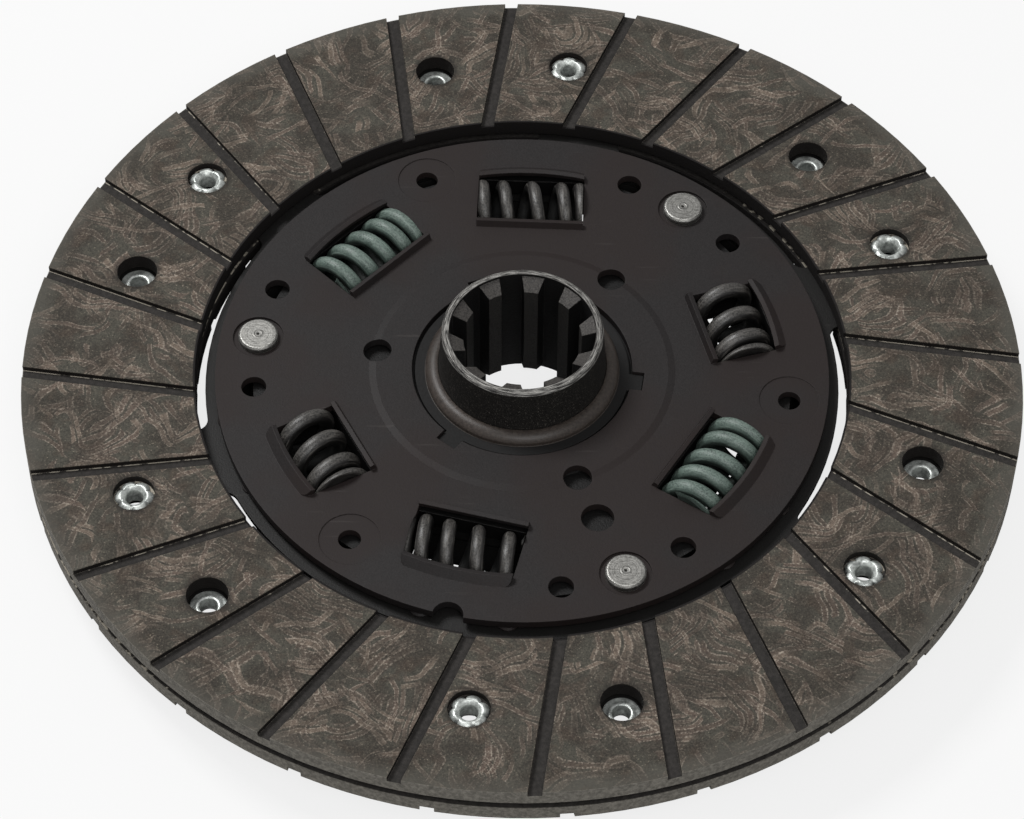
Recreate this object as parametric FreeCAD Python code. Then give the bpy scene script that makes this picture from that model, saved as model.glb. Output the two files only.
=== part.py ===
import FreeCAD, Part
import math
import os

Vector = FreeCAD.Vector

# A dry clutch disc with a sprung hub. Millimetres and degrees. +Z is the disc's axis and points
# to the flywheel side. z = 0 is the hub's lower end face, which the disc stands on.
# Angles run anticlockwise from +X, seen from the flywheel side.

# Friction ring
facing_outer_d = 200.0
facing_t = 3.5
cushion_gap = 1.8
hub_below = 9.2

# Springs, and how far out from their circle each edge of the damper and cushion ring lies.
# Each of these is the distance from the edge named before it.
spring_circle_r = 44.7
pin_from_springs = 9.1
flange_past_pins = 0.2
joggle_past_flange = 0.7
joggle_run = 1.8
ring_past_joggle = 0.5
cushion_ring_w = 6.6
facing_past_ring = 1.9
retainer_past_pins = 7.7
rim_inside_ring = 0.5

# Wear grooves, straight, each passing beside the axis
groove_n = 24
groove_w = 2.7
groove_depth = 1.2
groove_offset = 16.4
groove_phase = 7.2

# Facing rivets, in pairs, one of each pair holding the upper facing and one the lower
pair_n = 6
pair_angle = 93.4
pair_half = 10.0
rivet_inside_middle = 0.55
counterbore_d = 8.2
web_t = 1.8
rivet_shank_d = 5.0
rivet_bore_d = 3.5
rivet_head_d = 7.4
rivet_head_t = 0.8
rivet_crimp_t = 0.9
rivet_clear = 0.1

# Cushion disc: a thin spring steel sheet with six waved paddles between the facings
cushion_t = 0.8
arm_w = 16.5
arm_from_pair = -13.9
arm_fillet = 2.5
paddle_edge = 2.0
paddle_half = 28.9
paddle_ramp_half = 6.0

# Rivets between the cushion disc and the drive plate
cushion_rivet_in = 2.6
cushion_rivet_half = 8.2
cushion_rivet_shank_d = 3.2
cushion_rivet_head_d = 4.2
cushion_rivet_head_t = 0.6

# Damper: its middle plane lies below that of the facings
damper_drop = 1.1
damper_phase = 112.0
twist_limit = 5.0
plate_t = 1.8
plate_gap = 5.4
edge_notch_r = 3.0
edge_notch_angle = 257.0
step_past_friction = 3.0
plate_step_w = 1.4
retainer_step = 0.3
drive_step = 2.0

# Stop pins
pin_body_d = 8.0
pin_tenon_d = 6.0
pin_head_d = 8.0
pin_head_t = 1.5
pin_head_bevel = 0.4
pin_coin_d = 10.2
pin_coin_depth = 0.5
pin_stop_clear = 0.3
pocket_inner_r = 5.2
pocket_wall = 1.6

# Small holes in the retainer plate
index_hole_d = 5.0
index_hole_half = 13.7
pad_hole_d = 4.5
pad_d = 12.0
pad_depth = 0.2
near_hole_d = 5.7
near_hole_inside_step = 0.6
large_hole_d = 6.5
large_hole_from_pin = 14.1
large_hole_angle = 292.0

# Spring windows and their lips, measured from the spring circle
window_half_angle = 24.0
window_tip_in = 6.35
lip_outer_base_in = 8.9
lip_inner_base_in = 7.9
lip_rise = 1.4
lip_corner_r = 1.7
window_corner_r = 0.9
spring_end_clear = 0.15
flange_window_half = 7.2
spring_kinds = {
    "long": {"wire_d": 3.0, "coil_od": 13.6, "pitch": 6.3, "length": 22.0, "play": 1.2},
    "main": {"wire_d": 3.8, "coil_od": 13.8, "pitch": 4.9, "length": 22.0, "play": 0.0},
    "short": {"wire_d": 3.6, "coil_od": 13.6, "pitch": 6.6, "length": 18.0, "play": 1.6},
}
spring_order = ["long", "main", "short"]

# Hub: a splined boss and its flange, one forging
hub_length = 28.9
hub_top_wall = 1.5
hub_seat_wall = 2.2
hub_foot_wall = 1.8
hub_edge = 0.5
flange_t = 4.0
spline_n = 10
spline_tooth_angle = 9.8
spline_major_r = 14.6
spline_minor_r = 11.75
spline_space_w = 4.6
spline_lead_step = 0.6
spline_lead_slope = 30.0

# Friction parts round the hub
hub_run_clear = 0.08
face_run_clear = 0.05
collar_w = 2.6
collar_rise = 0.7
collar_shoulder_drop = 0.6
bush_step_w = 2.1
bush_step_drop = 1.4
plate_bore_clear = 0.6
friction_under_plate = 4.9
lug_reach = 2.2
lug_w = 4.2
lug_clear = 0.15
lower_bush_wall = 1.7
lower_bush_flange_w = 2.5
lower_bush_flange_t = 1.0
ring_past_bush = 0.4
lower_ring_t = 1.0
support_washer_t = 0.7
disc_spring_t = 0.5

# Levels worked out from the sizes above
lower_facing_z = hub_below
lower_facing_top = lower_facing_z + facing_t
upper_facing_z = lower_facing_top + cushion_gap
facing_top = upper_facing_z + facing_t
middle_z = (lower_facing_top + upper_facing_z) / 2
damper_z = middle_z - damper_drop
retainer_z = damper_z + plate_gap / 2
retainer_top = retainer_z + plate_t
drive_top = damper_z - plate_gap / 2
drive_z = drive_top - plate_t
flange_z = damper_z - flange_t / 2
flange_top = damper_z + flange_t / 2
cushion_z = middle_z - cushion_t / 2
cushion_top = middle_z + cushion_t / 2
drive_centre_top = drive_top - drive_step
drive_centre_z = drive_centre_top - plate_t

# Radii worked out from the spline outwards
hub_top_r = spline_major_r + hub_top_wall
hub_seat_r = spline_major_r + hub_seat_wall
hub_foot_r = spline_major_r + hub_foot_wall
collar_outer_r = hub_seat_r + collar_w
bush_step_r = collar_outer_r + bush_step_w
plate_bore_r = bush_step_r + plate_bore_clear
lug_from_axis = plate_bore_r + lug_reach
friction_outer_r = plate_bore_r + friction_under_plate
plate_step_r = friction_outer_r + step_past_friction
lower_bore_r = hub_seat_r + lower_bush_wall
lower_bush_flange_r = lower_bore_r + lower_bush_flange_w
ring_inner_r = lower_bore_r + ring_past_bush

# Radii worked out from the spring circle outwards
pin_r = spring_circle_r + pin_from_springs
flange_outer_r = pin_r + flange_past_pins
joggle_r = flange_outer_r + joggle_past_flange
cushion_ring_inner_r = joggle_r + joggle_run + ring_past_joggle
cushion_ring_outer_r = cushion_ring_inner_r + cushion_ring_w
drive_rim_outer_r = cushion_ring_outer_r - rim_inside_ring
retainer_outer_r = pin_r + retainer_past_pins
facing_inner_r = cushion_ring_outer_r + facing_past_ring
facing_outer_r = facing_outer_d / 2
facing_rivet_r = (facing_inner_r + facing_outer_r) / 2 - rivet_inside_middle
paddle_inner_r = facing_inner_r + paddle_edge
cushion_rivet_r = cushion_ring_inner_r + cushion_rivet_in
near_hole_r = plate_step_r - near_hole_inside_step
large_hole_r = pin_r - large_hole_from_pin
pair_pitch = 360.0 / pair_n
pin_angles = [damper_phase - 60.0 + 120.0 * k for k in range(3)]
pad_angles = [damper_phase + 120.0 * k for k in range(3)]
window_angles = [a + s * window_half_angle for a in pad_angles for s in (-1, 1)]
window_kinds = [spring_kinds[spring_order[i % 3]] for i in range(len(window_angles))]
pair_angles = [pair_angle + pair_pitch * k for k in range(pair_n)]
rivet_angles_lower = [a + pair_half for a in pair_angles]
rivet_angles_upper = [a - pair_half for a in pair_angles]


def turned(points):
    """A solid of revolution about Z from (radius, z) points."""
    corners = [Vector(r, 0, z) for r, z in points]
    face = Part.Face(Part.makePolygon(corners + [corners[0]]))
    return face.revolve(Vector(0, 0, 0), Vector(0, 0, 1), 360)


def ring(outer_r, inner_r, low, high):
    """A flat ring about Z between two levels."""
    return turned([(inner_r, low), (outer_r, low), (outer_r, high), (inner_r, high)])


def rod(radius, low, high, from_axis=0.0, angle=0.0):
    """An upright cylinder standing at a polar place."""
    return turn(Part.makeCylinder(radius, high - low, Vector(from_axis, 0, low)), angle)


def block(low_corner, high_corner):
    """A box between two corners."""
    size = Vector(*high_corner) - Vector(*low_corner)
    return Part.makeBox(size.x, size.y, size.z, Vector(*low_corner))


def turn(shape, angle):
    """A copy turned about Z."""
    copy = shape.copy()
    copy.rotate(Vector(0, 0, 0), Vector(0, 0, 1), angle)
    return copy


def prism_across(points, half_width):
    """A solid with a (radius, z) outline, running half_width each way along Y."""
    corners = [Vector(r, -half_width, z) for r, z in points]
    face = Part.Face(Part.makePolygon(corners + [corners[0]]))
    return face.extrude(Vector(0, 2 * half_width, 0))


def sector(outer_r, inner_r, low, high, middle, half_angle):
    """Part of a flat ring, half_angle each way from its middle angle."""
    height = high - low
    outer = Part.makeCylinder(outer_r, height, Vector(0, 0, low), Vector(0, 0, 1), 2 * half_angle)
    inner = Part.makeCylinder(inner_r, height, Vector(0, 0, low))
    return turn(outer.cut(inner), middle - half_angle)


def save(name, shape):
    """Writes one named piece and says how large it is."""
    solid = shape.removeSplitter()
    if len(solid.Solids) == 1:
        solid = solid.Solids[0]
    solid.exportStep("parts/" + name + ".step")
    print(name, "solids", len(solid.Solids), "valid", solid.isValid(), "mm3", round(solid.Volume, 1))


def facing():
    """The upper facing: grooved on its working face, drilled for both sets of rivets."""
    body = ring(facing_outer_r, facing_inner_r, upper_facing_z, facing_top)
    past = groove_w
    slot = block(
        (facing_inner_r / 2, groove_offset - groove_w / 2, facing_top - groove_depth),
        (facing_outer_r + past, groove_offset + groove_w / 2, facing_top + past),
    )
    cuts = [turn(slot, groove_phase + 360.0 * k / groove_n) for k in range(groove_n)]
    web_top = upper_facing_z + web_t
    shank_hole_r = rivet_shank_d / 2 + rivet_clear
    for angle in rivet_angles_upper:
        cuts.append(rod(shank_hole_r, upper_facing_z, web_top, facing_rivet_r, angle))
        cuts.append(rod(counterbore_d / 2, web_top, facing_top, facing_rivet_r, angle))
    for angle in rivet_angles_lower:
        cuts.append(rod(counterbore_d / 2, upper_facing_z, facing_top, facing_rivet_r, angle))
    return body.cut(cuts)


def turned_over(shape):
    """The same piece laid the other way up, so that its two sets of rivet holes change places."""
    copy = shape.copy()
    along = Vector(math.cos(math.radians(pair_angle)), math.sin(math.radians(pair_angle)), 0)
    copy.rotate(Vector(0, 0, middle_z), along, 180)
    return copy


def facing_rivets():
    """Six hollow rivets for the upper facing: head under the paddle, crimp in the counterbore."""
    paddle_low = upper_facing_z - cushion_t
    head_low = paddle_low - rivet_head_t
    crimp_low = upper_facing_z + web_t
    crimp_high = crimp_low + rivet_crimp_t
    bore_r = rivet_bore_d / 2
    shank_r = rivet_shank_d / 2
    head_r = rivet_head_d / 2
    rivet = turned([
        (bore_r, head_low),
        (head_r, head_low),
        (head_r, paddle_low),
        (shank_r, paddle_low),
        (shank_r, crimp_low),
        (head_r, crimp_low),
        (head_r, crimp_low + rivet_crimp_t / 2),
        (shank_r, crimp_high),
        (bore_r + rivet_crimp_t / 2, crimp_high),
        (bore_r, crimp_low),
    ])
    rivet.translate(Vector(facing_rivet_r, 0, 0))
    return Part.makeCompound([turn(rivet, angle) for angle in rivet_angles_upper])


def wave_slab():
    """A sheet along X whose outline across Y steps from the upper facing down to the lower one."""
    reach = facing_outer_r
    ramp = paddle_ramp_half
    top = [(-reach, upper_facing_z), (-ramp, upper_facing_z)]
    top += [(ramp, lower_facing_top + cushion_t), (reach, lower_facing_top + cushion_t)]
    low = [(y, z - cushion_t) for y, z in reversed(top)]
    corners = [Vector(cushion_ring_outer_r, y, z) for y, z in top + low]
    return Part.Face(Part.makePolygon(corners + [corners[0]])).extrude(Vector(reach, 0, 0))


def cushion_disc():
    """The waved spring sheet: a ring, six arms and six paddles, notched round the stop pins."""
    body = ring(cushion_ring_outer_r, cushion_ring_inner_r, cushion_z, cushion_top)
    paddle_outer_r = facing_outer_r - paddle_edge
    paddle = wave_slab().common(
        sector(paddle_outer_r, paddle_inner_r, lower_facing_z, facing_top, 0.0, paddle_half)
    )
    rise = upper_facing_z - cushion_top
    ramp_start = cushion_ring_outer_r + arm_fillet
    ring_middle = (cushion_ring_outer_r + cushion_ring_inner_r) / 2
    arm_end = paddle_inner_r + paddle_edge
    low = [
        (ring_middle, cushion_z),
        (ramp_start, cushion_z),
        (paddle_inner_r, cushion_z + rise),
        (arm_end, cushion_z + rise),
    ]
    high = [(r, z + cushion_t) for r, z in reversed(low)]
    arm = prism_across(low + high, arm_w / 2)
    sides = []
    for angle in pair_angles:
        sides.append(turn(paddle, angle))
        sides.append(turn(arm, angle + arm_from_pair))
    body = body.fuse(sides).removeSplitter()
    corners = [e for e in body.Edges if is_arm_root(e)]
    body = body.makeFillet(arm_fillet, corners)
    cuts = [rod(pocket_inner_r, cushion_z, cushion_top, pin_r, angle) for angle in pin_angles]
    hole_r = rivet_shank_d / 2 + rivet_clear
    for angle in rivet_angles_upper + rivet_angles_lower:
        cuts.append(rod(hole_r, lower_facing_top, upper_facing_z, facing_rivet_r, angle))
    hole_r = cushion_rivet_shank_d / 2 + rivet_clear
    for angle in cushion_rivet_angles():
        cuts.append(rod(hole_r, cushion_z, cushion_top, cushion_rivet_r, angle))
    return body.cut(cuts)


def is_upright(edge):
    """True for an edge that runs straight up."""
    box = edge.BoundBox
    return box.ZLength > cushion_t / 2 and box.XLength + box.YLength < cushion_t / 10


def is_arm_root(edge):
    """True for the upright edges where an arm leaves the cushion disc's ring."""
    place = edge.CenterOfMass
    from_axis = math.hypot(place.x, place.y)
    return is_upright(edge) and abs(from_axis - cushion_ring_outer_r) < cushion_t / 10


def cushion_rivet_angles():
    """Two rivets at the root of each arm."""
    arms = [angle + arm_from_pair for angle in pair_angles]
    return [a + s * cushion_rivet_half for a in arms for s in (-1, 1)]


def cushion_rivets():
    """Solid rivets through the cushion disc and the drive plate's rim."""
    rim_low = cushion_z - plate_t
    shank_r = cushion_rivet_shank_d / 2
    head_r = cushion_rivet_head_d / 2
    rivet = turned([
        (0, rim_low - cushion_rivet_head_t),
        (shank_r, rim_low - cushion_rivet_head_t),
        (head_r, rim_low - cushion_rivet_head_t / 2),
        (head_r, rim_low),
        (shank_r, rim_low),
        (shank_r, cushion_top),
        (head_r, cushion_top),
        (head_r, cushion_top + cushion_rivet_head_t / 2),
        (shank_r, cushion_top + cushion_rivet_head_t),
        (0, cushion_top + cushion_rivet_head_t),
    ])
    rivet.translate(Vector(cushion_rivet_r, 0, 0))
    return Part.makeCompound([turn(rivet, angle) for angle in cushion_rivet_angles()])


def lip_outline(side, base_in):
    """(radius, z) outline of a window's bent-up lip: side 1 is the outer lip, -1 the inner one."""
    base = spring_circle_r + side * base_in
    tip = spring_circle_r + side * window_tip_in
    tip_top = retainer_top + lip_rise
    return [
        (base, retainer_z),
        (tip + side * plate_t / 8, retainer_top),
        (tip, tip_top - plate_t / 8),
        (tip + side * plate_t / 2, tip_top),
        (base, retainer_top),
    ]


def window_opening(half, low, high):
    """One spring window's outline on +X: straight inside, curved outside, rounded corners."""
    inner_base = spring_circle_r - lip_inner_base_in
    outer_base = spring_circle_r + lip_outer_base_in
    opening = block((inner_base, -half, low), (outer_base, half, high))
    opening = opening.common(rod(outer_base, low, high, 0.0, 180.0))
    corners = [e for e in opening.Edges if is_upright(e) and e.CenterOfMass.x > spring_circle_r]
    opening = opening.makeFillet(lip_corner_r, corners)
    corners = [e for e in opening.Edges if is_upright(e) and e.CenterOfMass.x < spring_circle_r]
    return opening.makeFillet(window_corner_r, corners)


def pressed_windows(plate):
    """Cuts the six spring windows into a plate in the upper place and raises their lips."""
    outer_round = turned(lip_outline(1, lip_outer_base_in))
    inner_outline = lip_outline(-1, lip_inner_base_in)
    low = retainer_z - lip_rise
    high = retainer_top + 2 * lip_rise
    openings = []
    lips = []
    for angle, kind in zip(window_angles, window_kinds):
        half = kind["length"] / 2
        opening = window_opening(half, low, high)
        openings.append(turn(opening, angle))
        lips.append(turn(outer_round.common(opening), angle))
        lips.append(turn(prism_across(inner_outline, half), angle))
    return plate.cut(openings).fuse(lips)


def retainer_plate():
    """The flywheel side plate: a flat pressing with windows, holes and a slightly raised middle."""
    inside = plate_step_r - plate_step_w / 2
    outside = plate_step_r + plate_step_w / 2
    body = turned([
        (plate_bore_r, retainer_z + retainer_step),
        (inside, retainer_z + retainer_step),
        (outside, retainer_z),
        (retainer_outer_r, retainer_z),
        (retainer_outer_r, retainer_top),
        (outside, retainer_top),
        (inside, retainer_top + retainer_step),
        (plate_bore_r, retainer_top + retainer_step),
    ])
    body = pressed_windows(body)
    low = retainer_z
    high = retainer_top + retainer_step
    cuts = [rod(edge_notch_r, low, high, retainer_outer_r, edge_notch_angle)]
    cuts.append(rod(large_hole_d / 2, low, high, large_hole_r, large_hole_angle))
    for angle in pin_angles:
        cuts.append(rod(pin_tenon_d / 2, low, high, pin_r, angle))
        cuts.append(rod(pin_coin_d / 2, retainer_top - pin_coin_depth, high, pin_r, angle))
        cuts.append(rod(near_hole_d / 2, low, high, near_hole_r, angle))
        for s in (-1, 1):
            cuts.append(rod(index_hole_d / 2, low, high, pin_r, angle + s * index_hole_half))
    for angle in pad_angles:
        cuts.append(rod(pad_hole_d / 2, low, high, pin_r, angle))
        cuts.append(rod(pad_d / 2, retainer_top - pad_depth, high, pin_r, angle))
        half = lug_w / 2 + lug_clear
        far = lug_from_axis + lug_clear
        cuts.append(turn(block((plate_bore_r - lug_w, -half, low), (far, half, high)), angle))
    return body.cut(cuts)


def drive_plate():
    """The gearbox side plate: windows like the retainer's, and a raised rim for the cushion disc."""
    mirrored_centre = retainer_z + drive_step
    inside = plate_step_r - plate_step_w / 2
    outside = plate_step_r + plate_step_w / 2
    middle = turned([
        (lower_bore_r, mirrored_centre),
        (inside, mirrored_centre),
        (outside, retainer_z),
        (joggle_r, retainer_z),
        (joggle_r, retainer_top),
        (outside, retainer_top),
        (inside, mirrored_centre + plate_t),
        (lower_bore_r, mirrored_centre + plate_t),
    ])
    middle = pressed_windows(middle).mirror(Vector(0, 0, damper_z), Vector(0, 0, 1))
    rim_low = cushion_z - plate_t
    lean = plate_t / 2
    rim = turned([
        (joggle_r - plate_t, drive_z),
        (joggle_r + lean, drive_z),
        (joggle_r + joggle_run + lean, rim_low),
        (drive_rim_outer_r, rim_low),
        (drive_rim_outer_r, cushion_z),
        (joggle_r + joggle_run, cushion_z),
        (joggle_r, drive_top),
        (joggle_r - plate_t, drive_top),
    ])
    envelope = ring(drive_rim_outer_r, joggle_r, drive_z, cushion_z)
    outer_r = pocket_inner_r + pocket_wall
    pockets = [rod(outer_r, drive_z, cushion_z, pin_r, a).common(envelope) for a in pin_angles]
    body = middle.fuse([rim] + pockets)
    cuts = []
    for angle in pin_angles:
        cuts.append(rod(pocket_inner_r, drive_top, cushion_z, pin_r, angle))
        cuts.append(rod(pin_tenon_d / 2, drive_z, drive_top, pin_r, angle))
    hole_r = cushion_rivet_shank_d / 2 + rivet_clear
    for angle in cushion_rivet_angles():
        cuts.append(rod(hole_r, rim_low, cushion_z, cushion_rivet_r, angle))
    return body.cut(cuts)


def stop_pin(angle):
    """A shouldered pin that spaces the two plates, riveted over on both."""
    body_r = pin_body_d / 2
    tenon_r = pin_tenon_d / 2
    head_r = pin_head_d / 2
    seat = retainer_top - pin_coin_depth
    bevel = pin_head_bevel
    foot = drive_z - pin_head_t + pin_coin_depth
    pin = turned([
        (0, foot),
        (head_r - bevel, foot),
        (head_r, foot + bevel),
        (head_r, drive_z),
        (tenon_r, drive_z),
        (tenon_r, drive_top),
        (body_r, drive_top),
        (body_r, retainer_z),
        (tenon_r, retainer_z),
        (tenon_r, seat),
        (head_r, seat),
        (head_r, seat + pin_head_t - bevel),
        (head_r - bevel, seat + pin_head_t),
        (0, seat + pin_head_t),
    ])
    pin.translate(Vector(pin_r, 0, 0))
    return turn(pin, angle)


def spline_cutter():
    """A broach: the minor bore, ten parallel-sided spaces and a sloped lead at each end."""
    past = hub_edge
    low = -past
    high = hub_length + past
    major = rod(spline_major_r, low, high)
    spaces = []
    for k in range(spline_n):
        angle = spline_tooth_angle + (k + 0.5) * 360.0 / spline_n
        half = spline_space_w / 2
        space = block((0, -half, low), (spline_major_r + past, half, high))
        spaces.append(turn(space, angle))
    broach = rod(spline_minor_r, low, high).fuse(spaces).common(major)
    fall = (spline_major_r - spline_minor_r) * math.tan(math.radians(spline_lead_slope))
    lead = turned([
        (0, hub_length - spline_lead_step - fall),
        (spline_minor_r, hub_length - spline_lead_step - fall),
        (spline_major_r, hub_length - spline_lead_step),
        (spline_major_r, high),
        (0, high),
    ])
    other = lead.mirror(Vector(0, 0, hub_length / 2), Vector(0, 0, 1))
    return broach.fuse([lead, other])


def stop_notch(angle):
    """The gap in the flange's rim that a stop pin moves in, rounded to the pin."""
    pin_room_r = pin_body_d / 2 + pin_stop_clear
    ends = []
    for s in (-1, 1):
        ends.append(rod(pin_room_r, flange_z, flange_top, pin_r, s * twist_limit))
    inner_r = pin_r - pin_room_r
    outer_r = flange_outer_r + pin_room_r
    middle = sector(outer_r, inner_r, flange_z, flange_top, 0.0, twist_limit)
    for s in (-1, 1):
        mouth = block((pin_r, -pin_room_r, flange_z), (outer_r, pin_room_r, flange_top))
        ends.append(turn(mouth, s * twist_limit))
    return turn(middle.fuse(ends), angle)


def hub():
    """The splined boss with its flange, cut with spring windows and stop notches."""
    body = turned([
        (0, 0),
        (hub_foot_r - hub_edge, 0),
        (hub_foot_r, hub_edge),
        (hub_seat_r, drive_centre_z - lower_bush_flange_t),
        (hub_seat_r, flange_z),
        (flange_outer_r, flange_z),
        (flange_outer_r, flange_top),
        (hub_seat_r, flange_top),
        (hub_seat_r, facing_top + collar_rise),
        (hub_top_r, hub_length - hub_edge),
        (hub_top_r - hub_edge, hub_length),
        (0, hub_length),
    ])
    cuts = [spline_cutter()]
    cuts += [stop_notch(angle) for angle in pin_angles]
    for angle, kind in zip(window_angles, window_kinds):
        half = kind["length"] / 2 + kind["play"]
        low_r = spring_circle_r - flange_window_half
        high_r = spring_circle_r + flange_window_half
        window = block((low_r, -half, flange_z), (high_r, half, flange_top))
        cuts.append(turn(window, angle))
    return body.cut(cuts)


def upper_bush():
    """The friction bush on the flywheel side: collar, step, friction ring and three lugs."""
    inner_r = hub_seat_r + hub_run_clear
    face = flange_top + face_run_clear
    under_plate = retainer_z + retainer_step
    step_top = facing_top - bush_step_drop
    shoulder = facing_top - collar_shoulder_drop
    crown = facing_top + collar_rise
    outline = [
        Vector(inner_r, 0, face),
        Vector(friction_outer_r, 0, face),
        Vector(friction_outer_r, 0, under_plate),
        Vector(bush_step_r, 0, under_plate),
        Vector(bush_step_r, 0, step_top),
        Vector(collar_outer_r, 0, step_top),
        Vector(collar_outer_r, 0, shoulder),
    ]
    lean = math.radians(45.0)
    across = collar_outer_r - inner_r
    over = Vector(inner_r + across * math.sin(lean), 0, shoulder + (crown - shoulder) * math.cos(lean))
    top = Vector(inner_r, 0, crown)
    edges = Part.makePolygon(outline).Edges
    edges.append(Part.Arc(outline[-1], over, top).toShape())
    edges.append(Part.LineSegment(top, outline[0]).toShape())
    body = Part.Face(Part.Wire(edges)).revolve(Vector(0, 0, 0), Vector(0, 0, 1), 360)
    lugs = []
    for angle in pad_angles:
        lug = block((bush_step_r - lug_w, -lug_w / 2, under_plate), (lug_from_axis, lug_w / 2, step_top))
        lugs.append(turn(lug.cut(rod(collar_outer_r, under_plate, step_top)), angle))
    return body.fuse(lugs)


def lower_bush():
    """The centring bush in the drive plate's bore."""
    inner_r = hub_seat_r + hub_run_clear
    sleeve_r = lower_bore_r - face_run_clear
    low = drive_centre_z - lower_bush_flange_t
    return turned([
        (inner_r, low),
        (lower_bush_flange_r, low),
        (lower_bush_flange_r, drive_centre_z),
        (sleeve_r, drive_centre_z),
        (sleeve_r, drive_centre_top + disc_spring_t),
        (inner_r, drive_centre_top + disc_spring_t),
    ])


def friction_stack():
    """Friction ring, support washer and disc spring between the hub flange and drive plate."""
    ring_top = flange_z - face_run_clear
    ring_low = ring_top - lower_ring_t
    washer_low = ring_low - support_washer_t
    friction_ring = ring(friction_outer_r, ring_inner_r, ring_low, ring_top)
    washer = ring(friction_outer_r, ring_inner_r, washer_low, ring_low)
    disc_spring = turned([
        (friction_outer_r, drive_centre_top),
        (friction_outer_r, drive_centre_top + disc_spring_t),
        (ring_inner_r, washer_low),
        (ring_inner_r, washer_low - disc_spring_t),
    ])
    return {
        "lower_friction_ring": friction_ring,
        "support_washer": washer,
        "disc_spring": disc_spring,
    }


def torsion_spring(kind, angle):
    """A right-hand coil spring with ground ends, lying along its window."""
    wire_r = kind["wire_d"] / 2
    mean_r = kind["coil_od"] / 2 - wire_r
    length = kind["length"] - 2 * spring_end_clear
    helix = Part.makeHelix(kind["pitch"], length + 4 * wire_r, mean_r)
    lead = math.atan2(kind["pitch"], 2 * math.pi * mean_r)
    start = Vector(mean_r, 0, 0)
    along = Vector(0, math.cos(lead), math.sin(lead))
    section = Part.Wire([Part.makeCircle(wire_r, start, along)])
    coil = Part.Wire(helix.Edges).makePipeShell([section], True, True)
    reach = kind["coil_od"]
    spring = coil.common(block((-reach, -reach, 2 * wire_r), (reach, reach, length + 2 * wire_r)))
    spring = spring.Solids[0]
    spring.translate(Vector(0, 0, -2 * wire_r - length / 2))
    spring.rotate(Vector(0, 0, 0), Vector(1, 0, 0), 90)
    spring.translate(Vector(spring_circle_r, 0, damper_z))
    return turn(spring, angle)


os.makedirs("parts", exist_ok=True)

upper = facing()
rivets = facing_rivets()
pieces = {
    "hub": hub(),
    "retainer_plate": retainer_plate(),
    "drive_plate": drive_plate(),
    "cushion_disc": cushion_disc(),
    "upper_facing": upper,
    "lower_facing": turned_over(upper),
    "upper_facing_rivets": rivets,
    "lower_facing_rivets": turned_over(rivets),
    "cushion_rivets": cushion_rivets(),
    "upper_friction_bush": upper_bush(),
    "lower_centring_bush": lower_bush(),
}
pieces.update(friction_stack())
for number, angle in enumerate(pin_angles, start=1):
    pieces["stop_pin_" + str(number)] = stop_pin(angle)
for number, angle in enumerate(window_angles):
    name = "torsion_spring_" + str(number + 1)
    pieces[name] = torsion_spring(window_kinds[number], angle)
for name, shape in pieces.items():
    save(name, shape)
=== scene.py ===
# %% [markdown]
# # Dressing a clutch disc
# A clutch disc joins an engine to a gearbox. Its grooved friction ring is squeezed between the
# flywheel and a pressure plate, and its splined hub slides on the gearbox shaft. This lesson
# takes the disc's exact solids and gives them their real surfaces: pressed yarn and resin,
# phosphated steel, painted and oiled springs, zinc rivets and bright riveted pins. Pieces whose
# solids are plain, such as the springs and rivets, are made again in full detail.

import math

import bpy
import numpy as np
from mathutils import Matrix, Vector


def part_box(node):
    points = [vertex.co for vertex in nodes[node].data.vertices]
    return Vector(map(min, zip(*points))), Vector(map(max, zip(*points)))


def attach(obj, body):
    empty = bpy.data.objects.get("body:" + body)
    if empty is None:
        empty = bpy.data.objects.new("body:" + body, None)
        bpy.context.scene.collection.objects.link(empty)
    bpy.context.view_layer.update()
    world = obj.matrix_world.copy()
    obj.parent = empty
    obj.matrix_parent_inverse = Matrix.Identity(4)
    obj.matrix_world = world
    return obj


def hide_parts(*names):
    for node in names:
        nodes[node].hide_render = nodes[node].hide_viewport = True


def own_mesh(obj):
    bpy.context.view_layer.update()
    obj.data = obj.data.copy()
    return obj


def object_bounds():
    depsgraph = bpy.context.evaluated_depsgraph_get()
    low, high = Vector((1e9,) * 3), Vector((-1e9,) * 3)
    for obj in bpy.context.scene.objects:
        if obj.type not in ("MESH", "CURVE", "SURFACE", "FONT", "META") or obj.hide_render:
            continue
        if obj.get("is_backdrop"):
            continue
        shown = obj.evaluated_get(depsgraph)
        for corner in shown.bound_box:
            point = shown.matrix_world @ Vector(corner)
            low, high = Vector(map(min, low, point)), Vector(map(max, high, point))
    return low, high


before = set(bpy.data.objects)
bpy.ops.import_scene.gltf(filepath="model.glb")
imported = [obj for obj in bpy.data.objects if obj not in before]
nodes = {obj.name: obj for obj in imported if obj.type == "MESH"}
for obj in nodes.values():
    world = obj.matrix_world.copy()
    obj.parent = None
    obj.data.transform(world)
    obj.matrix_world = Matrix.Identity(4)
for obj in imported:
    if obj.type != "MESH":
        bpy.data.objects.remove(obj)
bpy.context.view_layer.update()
MM = 0.001

# %% [markdown]
# ## Sizes read from the solids
# The levels of the faces, the outer radius and the springs' height are measured on the solids,
# so that a new piece sits where the old one was. Other sizes are those that the solids were
# drawn with, and stand where they are first used. Angles are in degrees, anticlockwise from +X
# seen from above.


# %% Measure the solids
def polar(radius, angle, height):
    """A point at a radius and angle round the disc's axis, and a height, all in metres."""
    turn = math.radians(angle)
    return np.array([radius * math.cos(turn), radius * math.sin(turn), height])


def centre_of(name):
    """The middle of a solid's box."""
    low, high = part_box(name)
    return (low + high) / 2


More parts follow.
